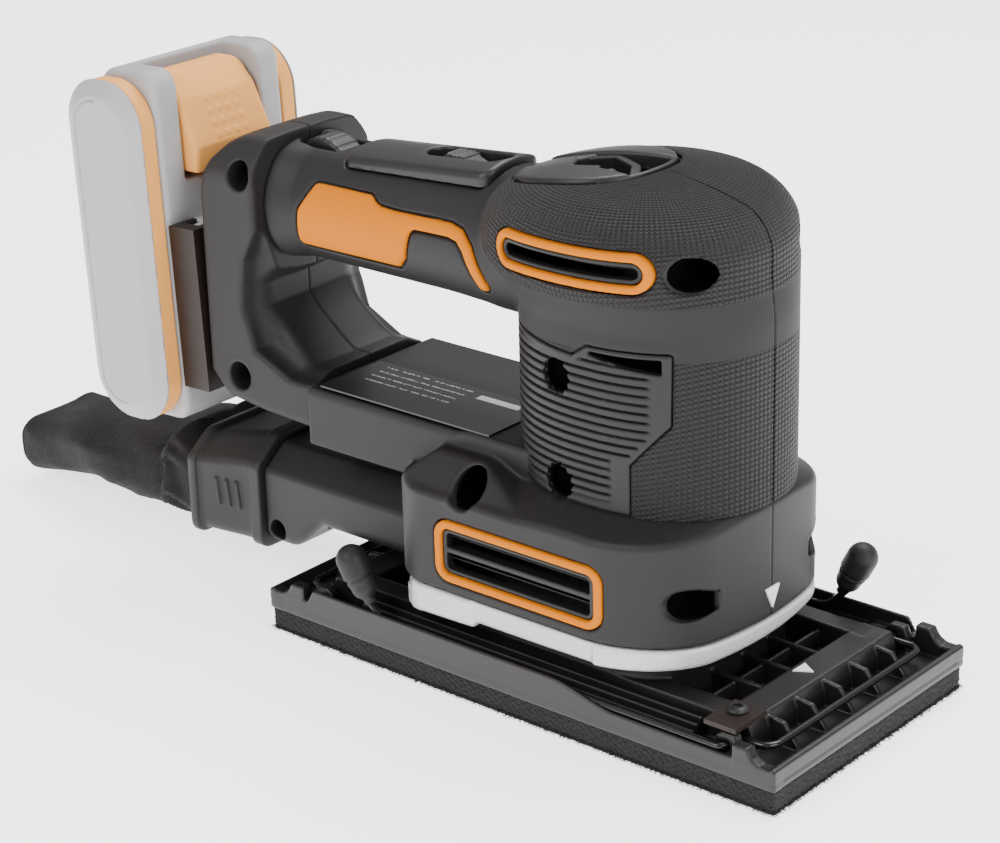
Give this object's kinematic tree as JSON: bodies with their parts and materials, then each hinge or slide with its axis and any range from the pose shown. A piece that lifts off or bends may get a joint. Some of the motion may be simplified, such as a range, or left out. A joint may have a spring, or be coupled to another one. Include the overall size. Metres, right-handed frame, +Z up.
{
  "type": "orbital sander",
  "caption": "Cordless sheet sander with a loop handle, motor tower, orbiting base plate, wire paper clamps, swinging lock lever, slide-on battery and cloth dust bag.",
  "frame": {"origin": "centre of the sanding face, on the surface being sanded", "axes": "+X forward from the battery towards the tower, +Y to the tool's left, +Z up"},
  "size_m": [0.3396, 0.1, 0.1591],
  "materials": {
    "housing_plastic": "fine satin grain",
    "collar_plastic": "satin",
    "grip_rubber": "fine dimple texture",
    "orange_plastic": "satin",
    "crown_plastic": "satin",
    "screw_steel": "dark zinc",
    "plate_label": "film",
    "white_print": "print",
    "control_plastic": "satin",
    "circuit_board": "solder mask",
    "motor_steel": "zinc plate",
    "magnet": "ferrite",
    "bearing_steel": "ground",
    "cast_alloy": "as cast",
    "brush_brass": "bright",
    "armature_core": "varnished laminations",
    "fan_nylon": "satin",
    "weight_steel": "plated",
    "soft_rubber": "matt",
    "bag_cloth": "woven",
    "lever_paint": "silver, fine sparkle",
    "plate_nylon": "glass-filled nylon",
    "pad_foam": "cut foam",
    "hook_pile": "hook pile",
    "bracket_metal": "brown black",
    "wire_steel": "black spring steel",
    "rail_plastic": "satin",
    "battery_grey": "satin",
    "battery_orange": "satin",
    "cell_wrap": "film"
  },
  "bodies": {
    "housing": {"right_housing": "housing_plastic", "left_housing": "housing_plastic", "right_rear_shell": "housing_plastic", "left_rear_shell": "housing_plastic", "battery_rail": "rail_plastic", "battery_terminals": "brush_brass", "right_grip_sleeve": "grip_rubber", "left_grip_sleeve": "grip_rubber", "right_rib_panel": "housing_plastic", "left_rib_panel": "housing_plastic", "right_handle_inlay": "orange_plastic", "left_handle_inlay": "orange_plastic", "right_upper_vent": "orange_plastic", "left_upper_vent": "orange_plastic", "right_lower_vent": "orange_plastic", "left_lower_vent": "orange_plastic", "handle_top_cover": "housing_plastic", "tower_crown": "crown_plastic", "housing_screws": "screw_steel", "rating_plate": "plate_label", "front_arrow": "white_print", "switch_module": "control_plastic", "control_board": "circuit_board", "motor_can": "motor_steel", "field_magnets": "magnet", "upper_bearing": "bearing_steel", "lower_bearing": "bearing_steel", "bearing_plate": "cast_alloy", "brush_holders": "brush_brass", "flexible_legs": "soft_rubber", "dust_duct": "housing_plastic"},
    "rotor": {"motor_shaft": "bearing_steel", "armature": "armature_core", "commutator": "brush_brass", "cooling_fan": "fan_nylon", "counterweight": "weight_steel"},
    "oscillating_head": {"eccentric_bearing": "bearing_steel", "carrier_plate": "cast_alloy", "lever_pin": "bearing_steel"},
    "lever": {"lock_lever": "lever_paint"},
    "sanding_base": {"base_plate": "plate_nylon", "foam_pad": "pad_foam", "hook_sheet": "hook_pile", "clamp_brackets": "bracket_metal", "bracket_screws": "screw_steel", "plate_arrow": "white_print"},
    "front_clamp": {"front_clamp_wire": "wire_steel", "front_clamp_tip": "soft_rubber"},
    "rear_clamp": {"rear_clamp_wire": "wire_steel", "rear_clamp_tip": "soft_rubber"},
    "switch": {"power_switch": "control_plastic"},
    "dial": {"speed_dial": "control_plastic"},
    "battery": {"battery_case": "battery_grey", "battery_bands": "battery_orange", "battery_cheeks": "battery_grey", "battery_cells": "cell_wrap"},
    "release": {"battery_button": "battery_orange"},
    "dust_catcher": {"bag_collar": "collar_plastic", "dust_bag": "bag_cloth"}
  },
  "joints": [
    {"name": "motor_spin", "type": "hinge", "parent": "housing", "child": "rotor", "pos_m": [0.016, 0, 0.1], "axis": [0, 0, 1], "continuous": true},
    {"name": "platen_orbit", "type": "hinge", "parent": "rotor", "child": "oscillating_head", "pos_m": [0.017, 0, 0.037], "axis": [0, 0, 1], "continuous": true},
    {"name": "base_release", "type": "slide", "parent": "oscillating_head", "child": "sanding_base", "axis": [0, 0, -1], "range_m": [0, 0.03]},
    {"name": "lock_swing", "type": "hinge", "parent": "oscillating_head", "child": "lever", "pos_m": [-0.038, -0.032, 0.025], "axis": [0, 0, -1], "range_deg": [0, 75]},
    {"name": "front_clamp_lift", "type": "hinge", "parent": "sanding_base", "child": "front_clamp", "pos_m": [0.074, 0, 0.0139], "axis": [0, 1, 0], "range_deg": [0, 11]},
    {"name": "rear_clamp_lift", "type": "hinge", "parent": "sanding_base", "child": "rear_clamp", "pos_m": [-0.074, 0, 0.0139], "axis": [0, -1, 0], "range_deg": [0, 11]},
    {"name": "power_slide", "type": "slide", "parent": "housing", "child": "switch", "axis": [1, 0, 0], "range_m": [0, 0.008]},
    {"name": "speed_turn", "type": "hinge", "parent": "housing", "child": "dial", "pos_m": [-0.103, 0, 0.132], "axis": [0, 1, 0], "range_deg": [-135, 135]},
    {"name": "battery_slide", "type": "slide", "parent": "housing", "child": "battery", "axis": [-0.0436, 0, 0.999], "range_m": [0, 0.07]},
    {"name": "battery_latch", "type": "slide", "parent": "battery", "child": "release", "axis": [-0.999, 0, -0.0436], "range_m": [0, 0.0025], "stiffness_N_per_m": 800},
    {"name": "bag_pull", "type": "slide", "parent": "housing", "child": "dust_catcher", "axis": [-1, 0, 0], "range_m": [0, 0.04]}
  ],
  "couplings": [
    {"joint": "platen_orbit", "follows": "motor_spin", "ratio": -1}
  ]
}
